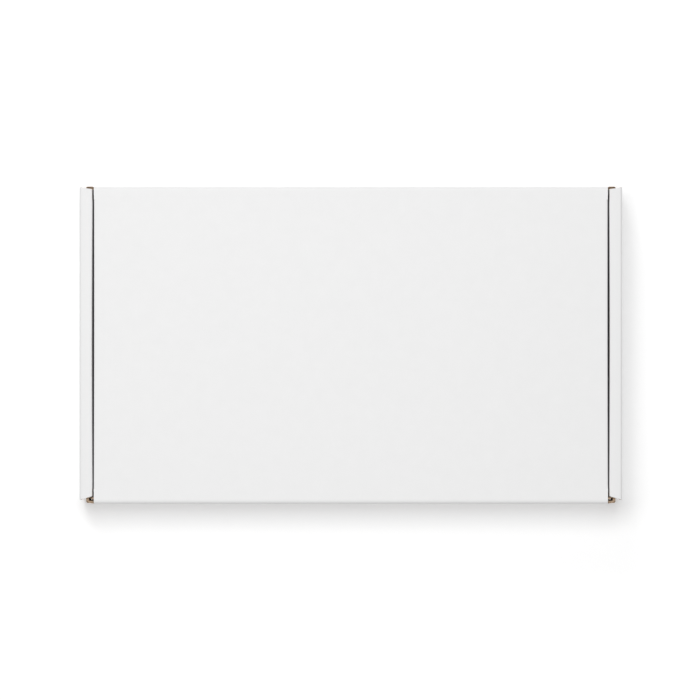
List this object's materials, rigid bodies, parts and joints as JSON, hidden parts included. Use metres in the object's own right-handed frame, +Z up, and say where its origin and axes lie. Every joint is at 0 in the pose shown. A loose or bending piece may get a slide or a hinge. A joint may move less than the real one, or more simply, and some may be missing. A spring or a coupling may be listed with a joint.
{
  "type": "mailer box",
  "caption": "Low rectangular corrugated mailer box with roll-over sides, a hinged lid and a front flap that tucks its ears into the sides.",
  "frame": {"origin": "centre of the closed box at the underside of its bottom", "axes": "+Z up, +Y towards the back wall and its fold, +X along the length, to the right when the front flap is looked at"},
  "size_m": [0.3, 0.175, 0.05],
  "materials": {
    "tray_board": "matt white-faced E-flute board, kraft inside",
    "lid_board": "matt white-faced E-flute board, kraft inside",
    "flap_board": "matt white-faced E-flute board, kraft inside"
  },
  "bodies": {
    "tray": {"tray": "tray_board"},
    "lid": {"lid": "lid_board"},
    "front_flap": {"front_flap": "flap_board"}
  },
  "joints": [
    {"name": "lid_hinge", "type": "hinge", "parent": "tray", "child": "lid", "pos_m": [0, 0.08721, 0.04971], "axis": [-1, 0, 0], "range_deg": [0, 180]},
    {"name": "flap_hinge", "type": "hinge", "parent": "lid", "child": "front_flap", "pos_m": [0, -0.08721, 0.04971], "axis": [-1, 0, 0], "range_deg": [0, 120]}
  ]
}
